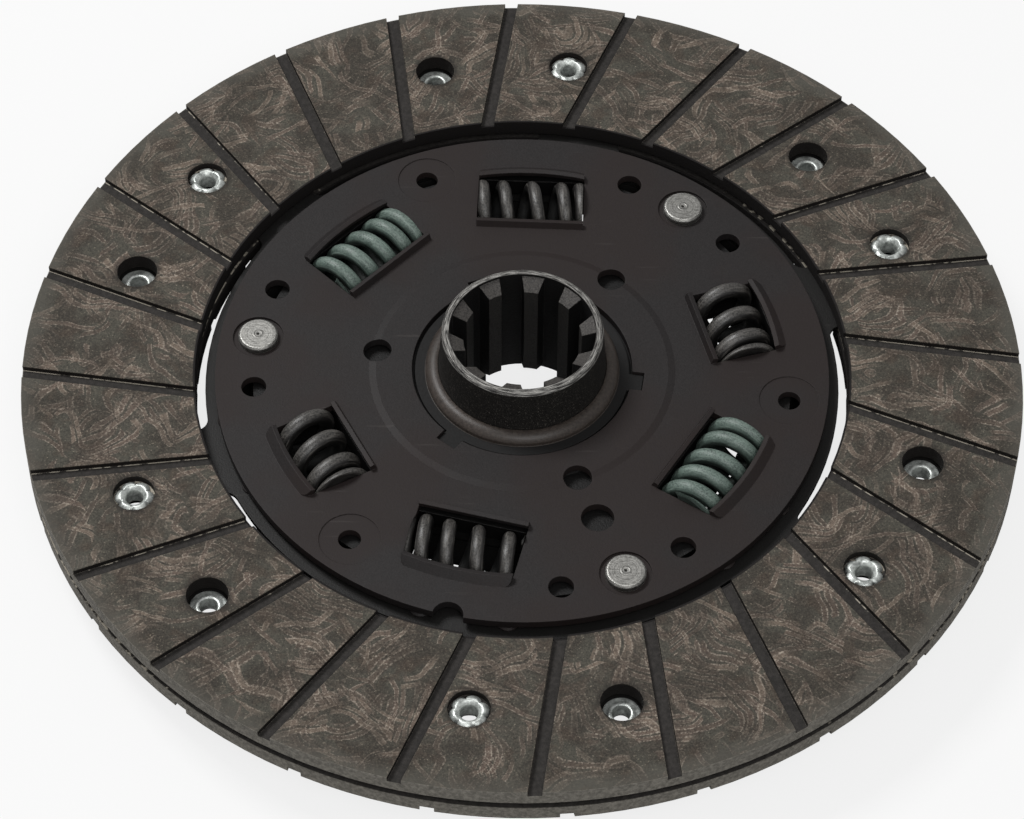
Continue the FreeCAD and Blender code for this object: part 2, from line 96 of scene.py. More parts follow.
facing_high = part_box("upper_facing")[1]
FACE_TOP = facing_high.z
FACE_R = facing_high.x
LOWER_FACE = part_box("lower_facing")[0].z
MIDDLE = (FACE_TOP + LOWER_FACE) / 2
SPRINGS = [name for name in sorted(nodes) if name.startswith("torsion_spring")]
PINS = [name for name in sorted(nodes) if name.startswith("stop_pin")]
levels = [round(v / MM, 2) for v in (LOWER_FACE, FACE_TOP)]
print("friction ring", round(2 * FACE_R / MM, 1), "mm across, faces at", levels, "mm")

# %% [markdown]
# ## The camera
# The photograph was taken from well in front and about 52 degrees up, with a long lens. The
# camera is tilted down by that much and rolled a little. Its place is worked out backwards from
# the middle of the friction face: some way back along its line of sight, and a little to the
# side and down, so that the disc fills the picture as it does in the photograph.

# %% Place the camera
CAMERA_TILT, CAMERA_ROLL = 52.396, -0.5225  # degrees
# These three are in outer radii of the friction ring
CAMERA_REACH, CAMERA_ASIDE, CAMERA_RAISED = 7.14378, 0.02043, 0.08905
LENS_MM, SENSOR_MM = 125.4, 36.0
SEEN_FROM, SEEN_TO = 0.05, 20.0  # metres

tilt = math.radians(CAMERA_TILT)
roll = math.radians(CAMERA_ROLL)
level_right = Vector((1, 0, 0))
level_up = Vector((0, math.sin(tilt), math.cos(tilt)))
ahead = Vector((0, math.cos(tilt), -math.sin(tilt)))
right = level_right * math.cos(roll) - level_up * math.sin(roll)
up = level_right * math.sin(roll) + level_up * math.cos(roll)
aim = Vector((0, 0, FACE_TOP))
eye = aim - FACE_R * (CAMERA_ASIDE * right + CAMERA_RAISED * up + CAMERA_REACH * ahead)
camera = bpy.data.objects.new("camera", bpy.data.cameras.new("camera"))
camera.data.lens = LENS_MM
camera.data.sensor_width = SENSOR_MM
camera.data.clip_start = SEEN_FROM
camera.data.clip_end = SEEN_TO
axes = Matrix((right, up, -ahead)).transposed().to_4x4()
camera.matrix_world = Matrix.Translation(eye) @ axes
bpy.context.scene.collection.objects.link(camera)
bpy.context.scene.camera = camera
bpy.context.scene.view_settings.view_transform = "Standard"
print("camera at", tuple(round(v, 3) for v in eye))

# %% [markdown]
# ## A few tools for materials
# Colours are written as the sRGB hex values that a colour picker shows, and Blender wants
# linear ones, so one function turns them over. One more adds a shader node: it fills the node's
# inputs in order, links those that are sockets, and gives back the node's first output. The
# short names below it are settings that come up again and again. The other functions begin and
# end a material, round its edges, and measure where a point lies about the disc's axis.


# %% Colour and node helpers
def linear(hex_colour):
    """An sRGB hex colour as linear red, green, blue and alpha."""
    srgb = np.array([int(hex_colour[i : i + 2], 16) for i in (1, 3, 5)]) / 255
    value = np.where(srgb <= 0.04045, srgb / 12.92, ((srgb + 0.055) / 1.055) ** 2.4)
    return (*value.tolist(), 1.0)


def add(tree, kind, *values, **settings):
    """Adds a shader node, fills its inputs in order and gives back its first output."""
    made = tree.nodes.new("ShaderNode" + kind)
    for name, value in settings.items():
        setattr(made, name, value)
    for socket, value in zip([s for s in made.inputs if s.enabled], values):
        if isinstance(value, bpy.types.NodeSocket):
            tree.links.new(value, socket)
        elif value is not None:
            socket.default_value = value
    return next((s for s in made.outputs if s.enabled), None)


SOFT = {"interpolation_type": "SMOOTHSTEP"}
RGBA = {"data_type": "RGBA"}
PLUS, LESS, TIMES = ({"operation": name} for name in ("ADD", "SUBTRACT", "MULTIPLY"))
SCALED, LENGTH, POSITIVE = ({"operation": name} for name in ("SCALE", "LENGTH", "ABSOLUTE"))


def begin(name, surface):
    """A new material with constants on its shader, and the shaded point in millimetres."""
    material = bpy.data.materials.new(name)
    material.use_nodes = True
    tree = material.node_tree
    shader = tree.nodes["Principled BSDF"]
    for socket, value in surface.items():
        shader.inputs[socket].default_value = value
    here = add(tree, "TexCoord").node.outputs["Object"]
    return material, tree, shader, add(tree, "VectorMath", here, 1 / MM, **SCALED)


def end(tree, shader, colour, roughness, height, depth_mm, rounded):
    """Links colour and roughness, and raises the surface over edges that are a little rounded."""
    bump = add(tree, "Bump", 1.0, depth_mm * MM, None, height, rounded)
    tree.links.new(colour, shader.inputs["Base Color"])
    tree.links.new(roughness, shader.inputs["Roughness"])
    tree.links.new(bump, shader.inputs["Normal"])


EDGE_SAMPLES = 6
FLAT_COSINE, EDGE_COSINE = 0.985, 0.86  # 10 and 31 degrees between the two normals


def edges(tree, width_mm):
    """The normal rounded over edges, and 1 on an edge, 0 on the flat: where the two part ways."""
    rounded = add(tree, "Bevel", width_mm * MM, samples=EDGE_SAMPLES)
    flat = add(tree, "NewGeometry").node.outputs["True Normal"]
    agree = add(tree, "VectorMath", rounded, flat, operation="DOT_PRODUCT")
    return rounded, add(tree, "MapRange", agree, FLAT_COSINE, EDGE_COSINE, **SOFT)


def about_axis(tree, place):
    """A point's X, Y and Z, the point without its height, and its distance from the axis."""
    parts = add(tree, "SeparateXYZ", place).node.outputs
    flat = add(tree, "VectorMath", place, (1, 1, 0), **TIMES)
    return parts, flat, add(tree, "VectorMath", flat, **LENGTH)


def from_nearest(tree, parts, radius, first, share, apart, ring):
    """Distance from the nearest of the spots spaced evenly round a ring, singly or in pairs: the
    angle from the first is wrapped to one share and made positive, and what lies between the
    middle of a pair and its spots is taken off. The angle's sine times the radius, and its
    cosine times the radius less the ring's radius, are the sides of a right triangle."""
    half = math.radians(share / 2)
    turn = add(tree, "Math", parts["Y"], parts["X"], operation="ARCTAN2")
    turn = add(tree, "Math", turn, math.radians(first), **LESS)
    turn = add(tree, "Math", turn, half, -half, operation="WRAP")
    turn = add(tree, "Math", add(tree, "Math", turn, **POSITIVE), math.radians(apart), **LESS)
    out = add(tree, "Math", add(tree, "Math", turn, operation="COSINE"), radius, **TIMES)
    out = add(tree, "Math", out, ring, **LESS)
    aside = add(tree, "Math", add(tree, "Math", turn, operation="SINE"), radius, **TIMES)
    return add(tree, "VectorMath", add(tree, "CombineXYZ", out, aside, 0.0), **LENGTH)


print("helpers ready: one adds a node, the others measure and finish")


# %% [markdown]
# ## The friction lining
# A lining is wound from glass and copper yarn soaked in resin, laid in overlapping loops, then
# pressed, cured and ground flat. Grinding cuts through the loops, so bundles of pale arcs show
# in a dark brown matrix, in patches that lean different ways. Here each patch is a Voronoi
# cell, and its strands are rings about a point beside that cell. Noise that runs along the
# rings, and changes slowly from one to the next, breaks them into bundles. Three such layers
# lie over each other. A strand is about a millimetre wide and 5 to 20 mm long, brown, with a
# pale fibre along each side.


# %% One layer of yarn
WANDER_MM, WANDER_BY = 20, 14  # how long the bends in the strands are, and how far they go
SPREAD = 2.6  # how far from a patch its rings may centre, in patch widths
RUN_MM = 15  # length along a strand over which the noise that ends it changes
FIBRE_AT = 0.28  # where a strand's pale sides lie, in pitches from its middle


def yarn_layer(tree, place, patch_mm, pitch_mm, seed, cover):
    """Bundles of arcs: 1 on a strand, and a second mask that is 1 along a strand's two sides."""
    moved = add(tree, "VectorMath", place, (seed, 1.7 * seed, 0), **PLUS)
    wander = add(tree, "TexNoise", moved, 1 / WANDER_MM, 2.5).node.outputs["Color"]
    shift = (WANDER_BY, WANDER_BY, 0)
    moved = add(tree, "VectorMath", wander, shift, moved, operation="MULTIPLY_ADD")
    cells = add(tree, "TexVoronoi", moved, 1 / patch_mm, voronoi_dimensions="2D").node.outputs
    reach = SPREAD * patch_mm
    aside = (reach, reach, 0)
    back = (-reach / 2, -reach / 2, 0)
    aside = add(tree, "VectorMath", cells["Color"], aside, back, operation="MULTIPLY_ADD")
    centre = add(tree, "VectorMath", cells["Position"], aside, **PLUS)
    local = add(tree, "VectorMath", moved, centre, **LESS)
    flat = add(tree, "VectorMath", local, (1, 1, 0), **TIMES)
    parts = add(tree, "SeparateXYZ", flat).node.outputs
    count = add(tree, "Math", add(tree, "VectorMath", flat, **LENGTH), 1 / pitch_mm, **TIMES)
    ring = add(tree, "Math", count, operation="FLOOR")
    across = add(tree, "Math", add(tree, "Math", count, operation="FRACT"), 0.5, **LESS)
    across = add(tree, "Math", across, **POSITIVE)
    angle = add(tree, "Math", parts["Y"], parts["X"], operation="ARCTAN2")
    along = add(tree, "Math", angle, add(tree, "Math", ring, pitch_mm / RUN_MM, **TIMES), **TIMES)
    shade = add(tree, "Math", add(tree, "SeparateColor", cells["Color"]), 40.0, **TIMES)
    key = add(tree, "CombineXYZ", along, add(tree, "Math", ring, 0.55, **TIMES), shade)
    ends = add(tree, "TexNoise", key, 1.0, 1.5)
    shown = add(tree, "MapRange", ends, 0.97 - cover, 1.08 - cover, **SOFT)
    strand = add(tree, "Math", add(tree, "MapRange", across, 0.42, 0.30, **SOFT), shown, **TIMES)
    side = add(tree, "Math", add(tree, "Math", across, FIBRE_AT, **LESS), **POSITIVE)
    side = add(tree, "MapRange", side, 0.12, 0.02, **SOFT)
    return strand, add(tree, "Math", side, strand, **TIMES)


# %% [markdown]
# The face itself is resin in two browns with yarn over it. Wear rubs the strands away in places,
# leaves pits and pale specks of ground filler, and greys the outer edge. The real grit is a few
# hundredths of a millimetre, too fine to show, so it is drawn about ten times as coarse.

# %% The ground face
YARN = [
    # patch and strand pitch in mm, seed, share covered, colour, how strongly it shows
    (12.0, 1.8, 11.0, 0.48, "#51463E", 0.80),
    (15.0, 1.7, 47.0, 0.45, "#60534A", 0.85),
    (11.0, 1.6, 83.0, 0.42, "#6E6156", 0.85),
]


def ground_face(tree, flat, radius, grit, fine):
    """The face's colour, and how far its fibres stand out: resin, then yarn mixed over it layer
    by layer, then fibres, pits, specks and the worn outer edge."""
    broad = add(tree, "TexNoise", flat, 1 / 8.0, 3.0)
    elsewhere = add(tree, "VectorMath", flat, (70, 9, 0), **PLUS)
    warm = add(tree, "TexNoise", elsewhere, 1 / 5.0, 3.0)
    resin = add(tree, "MapRange", broad, 0.40, 0.60, **SOFT)
    resin = add(tree, "Mix", resin, linear("#37332D"), linear("#43413A"), **RGBA)
    tint = add(tree, "MapRange", warm, 0.50, 0.66, 0.0, 0.6, **SOFT)
    colour = add(tree, "Mix", tint, resin, linear("#41372F"), **RGBA)
    rub = add(tree, "MapRange", fine, 0.28, 0.50, **SOFT)
    plenty = add(tree, "MapRange", broad, 0.42, 0.58, 0.45, 1.0, **SOFT)
    raised = 0.0
    for patch, pitch, seed, cover, shade, strength in YARN:
        strand, sides = yarn_layer(tree, flat, patch, pitch, seed, cover)
        shown = add(tree, "Math", add(tree, "Math", rub, strength, **TIMES), plenty, **TIMES)
        worn = add(tree, "Math", strand, shown, **TIMES)
        colour = add(tree, "Mix", worn, colour, linear(shade), **RGBA)
        raised = add(tree, "Math", sides, shown, raised, operation="MULTIPLY_ADD")
    bright = add(tree, "MapRange", grit, 0.44, 0.64, 0.05, 0.9)
    bright = add(tree, "Math", raised, bright, **TIMES)
    bright = add(tree, "Math", bright, 0.85, operation="MINIMUM")
    colour = add(tree, "Mix", bright, colour, linear("#A0968A"), **RGBA)
    pepper = add(tree, "MapRange", grit, 0.30, 0.50, 0.6, 0.0)
    colour = add(tree, "Mix", pepper, colour, linear("#1C1917"), **RGBA)
    salt = add(tree, "MapRange", grit, 0.52, 0.70, 0.0, 0.2)
    colour = add(tree, "Mix", salt, colour, linear("#7C7465"), **RGBA)
    specks = add(tree, "MapRange", grit, 0.68, 0.75, 0.0, 0.7)
    colour = add(tree, "Mix", specks, colour, linear("#A79C8B"), **RGBA)
    grey = add(tree, "Math", add(tree, "Math", broad, 5.0, **TIMES), radius, **PLUS)
    grey = add(tree, "MapRange", grey, FACE_R / MM - 1.5, FACE_R / MM + 1.5, 0.0, 0.6)
    return add(tree, "Mix", grey, colour, linear("#4D4B45"), **RGBA), raised


# %% [markdown]
# The grooves are cut straight, each passing beside the axis, so the shader can tell where a
# point lies across its nearest groove: it turns the point's angle back by the arcsine of offset
# over radius, wraps it to one groove's share, and takes the distance from the groove's middle.
# A cut floor is dark and even, with broken pale fibre in its corners where the yarn was torn. The
# pale line is made stronger as a painted highlight in the grooves that run from side to side. Its
# standing walls are painted darker still, as shade.

# %% The grooves' floors
GROOVES = 24
GROOVE_PHASE = 7.2  # degrees
GROOVE_HALF, GROOVE_OFFSET = 1.35, 16.4  # half a groove's width and its way past the axis, mm


def groove_floor(tree, place, parts, radius, fine):
    """The colour of a cut floor, with torn fibre and a painted highlight where it meets its walls,
    and of the walls, painted dark as shade.
    """
    beside = add(tree, "Math", GROOVE_OFFSET, radius, operation="DIVIDE")
    beside = add(tree, "Math", beside, operation="ARCSINE")
    angle = add(tree, "Math", parts["Y"], parts["X"], operation="ARCTAN2")
    angle = add(tree, "Math", angle, beside, **LESS)
    angle = add(tree, "Math", angle, math.radians(GROOVE_PHASE), **LESS)
    share = math.pi / GROOVES
    angle = add(tree, "Math", angle, share, -share, operation="WRAP")
    across = add(tree, "Math", add(tree, "Math", angle, beside, **PLUS), operation="SINE")
    across = add(tree, "Math", across, radius, -GROOVE_OFFSET, operation="MULTIPLY_ADD")
    across = add(tree, "Math", across, **POSITIVE)
    colour = add(tree, "MapRange", fine, 0.3, 0.75, **SOFT)
    colour = add(tree, "Mix", colour, linear("#22201E"), linear("#353230"), **RGBA)
    corner = add(tree, "MapRange", across, GROOVE_HALF - 0.28, GROOVE_HALF - 0.18, **SOFT)
    # Painted highlight: the pale corner line is strongest in grooves towards the disc's left and
    # right
    painted_highlight_weight = add(tree, "Math", parts["X"], **POSITIVE)
    painted_highlight_weight = add(tree, "Math", painted_highlight_weight, radius, operation="DIVIDE")
    fibre = add(tree, "Math", add(tree, "TexNoise", place, 1 / 1.6, 2.0), painted_highlight_weight, **TIMES)
    fibre = add(tree, "Math", add(tree, "MapRange", fibre, 0.38, 0.48, **SOFT), corner, **TIMES)
    colour = add(tree, "Mix", fibre, colour, linear("#A39C8F"), **RGBA)
    # Painted shade: the grooves' standing walls are mixed to near black
    painted_wall_shade = add(tree, "NewGeometry").node.outputs["True Normal"]
    painted_wall_shade = add(tree, "Math", add(tree, "SeparateXYZ", painted_wall_shade).node.outputs["Z"], **POSITIVE)
    painted_wall_shade = add(tree, "MapRange", painted_wall_shade, 0.6, 0.3)
    return add(tree, "Mix", painted_wall_shade, colour, linear("#15110F"), **RGBA)


# %% [markdown]
# The whole lining then goes by place. A point level with the face has the ground colour, with
# painted shade round a counterbore. A point below it has the groove's colour.
# The rim is paler, because it is only moulded, and the bore lies in the shade of the plates.

# %% Lining material
BORE_R = 65.5 * MM
RIVET_R = 82.2 * MM
PAIRS = [93.4 + 60.0 * k for k in range(6)]  # each pair's middle, in degrees
PAIR_HALF = 10.0
RIVET_SHADE_FROM, RIVET_SHADE_TO = 4.5, 6.0  # mm from a rivet's middle


def make_lining():
    """Ground yarn and resin: matt, brown-grey, with pale arcs of yarn, pits and specks."""
    material, tree, shader, place = begin("ground_yarn_and_resin", {"Specular IOR Level": 0.25})
    parts, flat, radius = about_axis(tree, place)
    rounded, edge = edges(tree, 0.25)
    grit = add(tree, "TexNoise", place, 1 / 0.35, 2.0, 0.7)
    fine = add(tree, "TexNoise", place, 1 / 0.9, 4.0, 0.7)
    colour, raised = ground_face(tree, flat, radius, grit, fine)
    # Painted shade: the face darkens round each counterbore
    away = from_nearest(tree, parts, radius, PAIRS[0], 60.0, PAIR_HALF, RIVET_R / MM)
    away = add(tree, "Math", fine, 1.2, away, operation="MULTIPLY_ADD")
    painted_rivet_shade = add(tree, "MapRange", away, RIVET_SHADE_FROM, RIVET_SHADE_TO, 0.75, 0.0, **SOFT)
    colour = add(tree, "Mix", painted_rivet_shade, colour, linear("#1D1A17"), **RGBA)

    level = add(tree, "Math", parts["Z"], MIDDLE / MM, **LESS)
    level = add(tree, "Math", level, **POSITIVE)
    half = (FACE_TOP - LOWER_FACE) / 2 / MM
    on_face = add(tree, "MapRange", level, half - 0.25, half - 0.1, **SOFT)
    cut = groove_floor(tree, place, parts, radius, fine)
    colour = add(tree, "Mix", on_face, cut, colour, **RGBA)
    chipped = add(tree, "Math", edge, add(tree, "MapRange", grit, 0.42, 0.62, 0.0, 0.5), **TIMES)
    colour = add(tree, "Mix", chipped, colour, linear("#7D766A"), **RGBA)
    rim = add(tree, "MapRange", radius, FACE_R / MM - 0.20, FACE_R / MM - 0.05, **SOFT)
    band = add(tree, "MapRange", fine, 0.3, 0.75, **SOFT)
    band = add(tree, "Mix", band, linear("#524F49"), linear("#7B776F"), **RGBA)
    colour = add(tree, "Mix", rim, colour, band, **RGBA)
    bore = add(tree, "MapRange", radius, BORE_R / MM + 0.5, BORE_R / MM + 0.3, **SOFT)
    colour = add(tree, "Mix", bore, colour, linear("#141110"), **RGBA)

    rough = add(tree, "Math", fine, 0.2, 0.68, operation="MULTIPLY_ADD")
    raised = add(tree, "Math", add(tree, "Math", raised, 0.5, **TIMES), on_face, **TIMES)
    height = add(tree, "Math", add(tree, "Math", grit, 0.8, **TIMES), fine, **PLUS)
    height = add(tree, "Math", height, raised, **PLUS)
    end(tree, shader, colour, rough, height, 0.12, rounded)
    return material


lining = make_lining()
print("material", lining.name, "with", len(lining.node_tree.nodes), "nodes")

# %% [markdown]
# ## Steels
# The plates and the hub are phosphated: a nearly black, slightly porous coat with little shine.
# Handling rubs it bright where an edge stands out, most of all round the hub's mouth. The lower
# plate is painted nearly black as shade, and the waved sheet is hardened spring strip. The coat's
# crystals are about a hundredth of a millimetre, too fine to show, so they are drawn at 0.3 mm.


# %% Phosphated steel
def make_phosphate(name, colours, roughness, wear, level):
    """Phosphated steel: nearly black, matt, with a fine crystal grain and rubbed edges."""
    dark, light, cloud, worn = colours
    material, tree, shader, place = begin(name, {"Specular IOR Level": level})
    rounded, edge = edges(tree, 0.2)
    grit = add(tree, "TexNoise", place, 1 / 0.3, 2.0, 0.7)
    broad = add(tree, "TexNoise", place, 1 / 25.0, 3.0)
    tone = add(tree, "MapRange", grit, 0.30, 0.70)
    colour = add(tree, "Mix", tone, linear(dark), linear(light), **RGBA)
    tint = add(tree, "MapRange", broad, 0.40, 0.60, 0.0, 0.6, **SOFT)
    colour = add(tree, "Mix", tint, colour, linear(cloud), **RGBA)
    streak = add(tree, "Mapping", place, None, (0, 0, 0.7), (0.06, 1.1, 1.0))
    streak = add(tree, "MapRange", add(tree, "TexNoise", streak, 1.0, 3.0), 0.68, 0.74, 0.0, 0.35)
    colour = add(tree, "Mix", streak, colour, linear(worn), **RGBA)
    rubbed = add(tree, "Math", edge, add(tree, "MapRange", grit, 0.40, 0.62, 0.0, wear), **TIMES)
    colour = add(tree, "Mix", rubbed, colour, linear(worn), **RGBA)
    rough = add(tree, "Math", broad, 0.2, roughness - 0.1, operation="MULTIPLY_ADD")
    end(tree, shader, colour, rough, grit, 0.04, rounded)
    return material


PLATE_COLOURS = ("#151212", "#232020", "#211816", "#3C3836")
# The lower plate's colours are painted shade: nearly black, so that it reads as shade under the
# retainer
DRIVE_SHADE_COLOURS = ("#070606", "#0E0D0C", "#0B0A09", "#242220")
STRIP_COLOURS = ("#0F0E0E", "#1C1B1A", "#141312", "#3C3A38")
plate_steel = make_phosphate("phosphated_plate", PLATE_COLOURS, 0.6, 0.5, 0.25)
drive_shade_steel = make_phosphate("drive_plate_painted_shade", DRIVE_SHADE_COLOURS, 0.75, 0.3, 0.12)
strip_steel = make_phosphate("hardened_strip", STRIP_COLOURS, 0.5, 0.4, 0.25)
print("phosphated", plate_steel.name, drive_shade_steel.name, strip_steel.name)

# %% [markdown]
# The hub's coat depends on the place. Its mouth is turned and scratched bright, the sloped
# leads at the tooth ends are mid grey, the tooth tips have a grey grain, and the tooth flanks
# are black with oil. The flange between the springs is painted nearly black as shade.

# %% Hub material
MOUTH_Z = nodes["hub"].bound_box[6][2] / MM
MAJOR_R, MINOR_R, FLANGE_FROM = 14.6, 11.75, 24.0  # mm from the axis


def make_hub():
    """A phosphated forging, scratched bright round its mouth and worn grey on its teeth."""
    material, tree, shader, place = begin("phosphated_forging", {"Specular IOR Level": 0.3})
    rounded, edge = edges(tree, 0.25)
    parts, _, radius = about_axis(tree, place)
    height = parts["Z"]
    facing_up = add(tree, "NewGeometry").node.outputs["True Normal"]
    facing_up = add(tree, "SeparateXYZ", facing_up).node.outputs["Z"]
    grit = add(tree, "TexNoise", place, 1 / 0.3, 2.0, 0.7)
    fine = add(tree, "TexNoise", place, 1 / 0.8, 4.0, 0.75)
    tone = add(tree, "MapRange", grit, 0.35, 0.65)
    colour = add(tree, "Mix", tone, linear("#0E0D0C"), linear("#211F1D"), **RGBA)
    dots = add(tree, "MapRange", grit, 0.62, 0.70, 0.0, 0.8)
    colour = add(tree, "Mix", dots, colour, linear("#5E5A54"), **RGBA)
    inside = add(tree, "MapRange", radius, MAJOR_R + 0.15, MAJOR_R + 0.05, **SOFT)
    colour = add(tree, "Mix", inside, colour, linear("#0B0A0A"), **RGBA)
    # Painted shade: the flange between the springs is mixed to near black
    flange = add(tree, "MapRange", radius, FLANGE_FROM, FLANGE_FROM + 1.0, **SOFT)
    colour = add(tree, "Mix", flange, colour, linear("#080707"), **RGBA)
    tip = add(tree, "MapRange", radius, MINOR_R + 0.15, MINOR_R + 0.05, **SOFT)
    grain = add(tree, "Mix", tone, linear("#191817"), linear("#302E2C"), **RGBA)
    colour = add(tree, "Mix", tip, colour, grain, **RGBA)
    lead = add(tree, "MapRange", facing_up, 0.3, 0.5, **SOFT)
    lead = add(tree, "Math", lead, inside, **TIMES)
    grain = add(tree, "Mix", tone, linear("#262423"), linear("#4A4744"), **RGBA)
    colour = add(tree, "Mix", lead, colour, grain, **RGBA)
    mouth = add(tree, "MapRange", height, MOUTH_Z - 0.75, MOUTH_Z - 0.55, **SOFT)
    mouth = add(tree, "Math", mouth, add(tree, "Math", 1.0, inside, **LESS), **TIMES)
    angle = add(tree, "Math", parts["Y"], parts["X"], operation="ARCTAN2")
    round_it = add(tree, "CombineXYZ", add(tree, "Math", angle, 6.0, **TIMES), radius, height)
    turned = add(tree, "VectorMath", round_it, (1, 4.5, 4.5), **TIMES)
    turned = add(tree, "MapRange", add(tree, "TexNoise", turned, 1.0, 3.0), 0.40, 0.66)
    bright = add(tree, "Mix", turned, linear("#2F2E2D"), linear("#9C9A96"), **RGBA)
    scratch = add(tree, "Math", edge, tone, **TIMES)
    bright = add(tree, "Mix", scratch, bright, linear("#E2DFDA"), **RGBA)
    colour = add(tree, "Mix", mouth, colour, bright, **RGBA)
    rubbed = add(tree, "Math", edge, add(tree, "MapRange", grit, 0.45, 0.65, 0.0, 0.5), **TIMES)
    colour = add(tree, "Mix", rubbed, colour, linear("#565350"), **RGBA)
    rough = add(tree, "Math", fine, 0.2, 0.45, operation="MULTIPLY_ADD")
    tree.links.new(add(tree, "Math", mouth, 0.7, **TIMES), shader.inputs["Metallic"])
    end(tree, shader, colour, rough, add(tree, "Math", grit, fine, **PLUS), 0.07, rounded)
    return material


hub_steel = make_hub()
print("material", hub_steel.name)

# %% [markdown]
# The stop pins are bare steel. Each was riveted over by a spinning peen, which leaves a small
# dimple with a ring round it, painted dark inside as shade, faint circles over a scuffed grey face
# and a bright rounded edge, partly burnished and partly a painted highlight.
# The three pins lie 120 degrees apart, so the shader measures from the nearest one's middle.
# The small rivets are zinc plated: pale, a little clouded, and dull where they were pressed.

# %% Pin and zinc materials
PIN_R, PIN_ANGLE = 53.8, 52.0  # mm from the axis, and the first pin's angle in degrees


def make_pin():
    """Bare riveted steel: grey and scuffed, with a dimple painted dark as shade, faint circles and
    a bright edge that is partly a painted highlight.
    """
    material, tree, shader, place = begin("bare_riveted_steel", {"Metallic": 1.0})
    rounded, edge = edges(tree, 0.45)
    parts, _, radius = about_axis(tree, place)
    away = from_nearest(tree, parts, radius, PIN_ANGLE, 120.0, 0.0, PIN_R)
    grit = add(tree, "TexNoise", place, 1 / 0.35, 3.0, 0.7)
    circles = add(tree, "TexNoise", add(tree, "CombineXYZ", away, 0.0, parts["Z"]), 3.0, 2.0)
    scratch = add(tree, "Mapping", place, None, (0, 0, 0.9), (0.5, 5.0, 1.0))
    scratch = add(tree, "TexNoise", scratch, 1.0, 3.0)
    tone = add(tree, "Math", grit, add(tree, "Math", circles, scratch, **PLUS), **PLUS)
    tone = add(tree, "MapRange", tone, 1.25, 1.75)
    colour = add(tree, "Mix", tone, linear("#6C6B68"), linear("#A09F9B"), **RGBA)
    # Painted highlight, partly a burnished edge: every edge is mixed to near white
    colour = add(tree, "Mix", edge, colour, linear("#D8D7D2"), **RGBA)
    ring = add(tree, "Math", add(tree, "Math", away, 0.85, **LESS), **POSITIVE)
    ring = add(tree, "MapRange", ring, 0.22, 0.0, **SOFT)
    # Painted shade: the dimple is mixed to dark grey, and the same mask sinks its bump
    dimple_and_shade = add(tree, "MapRange", away, 0.42, 0.15, **SOFT)
    colour = add(tree, "Mix", dimple_and_shade, colour, linear("#2E2D2B"), **RGBA)
    shape = add(tree, "Math", add(tree, "Math", ring, 0.6, **TIMES), dimple_and_shade, **LESS)
    height = add(tree, "Math", add(tree, "Math", tone, 0.12, **TIMES), shape, **PLUS)
    rough = add(tree, "Math", grit, 0.2, 0.38, operation="MULTIPLY_ADD")
    end(tree, shader, colour, rough, height, 0.12, rounded)
    return material


def make_zinc():
    """Zinc plate on a small rivet: bright, lightly clouded, with dull patches from pressing."""
    material, tree, shader, place = begin("zinc_plate", {"Metallic": 0.6})
    fine = add(tree, "TexNoise", place, 1 / 0.5, 3.0, 0.7)
    cloud = add(tree, "TexNoise", place, 1 / 1.6, 2.0)
    tone = add(tree, "MapRange", add(tree, "Math", fine, cloud, **PLUS), 0.75, 1.2)
    colour = add(tree, "Mix", tone, linear("#8B8F8C"), linear("#D6DAD6"), **RGBA)
    rough = add(tree, "Math", cloud, 0.3, 0.26, operation="MULTIPLY_ADD")
    plain = add(tree, "NewGeometry").node.outputs["Normal"]
    end(tree, shader, colour, rough, fine, 0.03, plain)
    return material


pin_steel = make_pin()
zinc = make_zinc()
print("bright metals", pin_steel.name, zinc.name)

# %% [markdown]
# ## Springs and bush
# The spring wire is drawn, so its skin is streaked along its length. Each coil carries a point
# attribute, wire, with a place round the wire and along it in millimetres, and noise that is
# stretched on that attribute gives streaks that follow the coils. The real drawing marks are
# finer, and are drawn half a millimetre wide to show; their pale glint is partly a painted
# highlight. The coil's outside is rubbed and carries some dust, lightened further as a painted
# highlight. The wire's flanks towards the coil's middle, and the lower half of each coil, are
# painted dark as shade. Two springs are dipped in grey-green paint, and four are only oiled. The
# friction bush is moulded from filled polymer: satin on the collar, with the step beside it
# painted nearly black as shade.


# %% Spring and bush materials
SPRING_Z = centre_of("torsion_spring_1").z / MM
COLLAR_R = 19.4  # mm


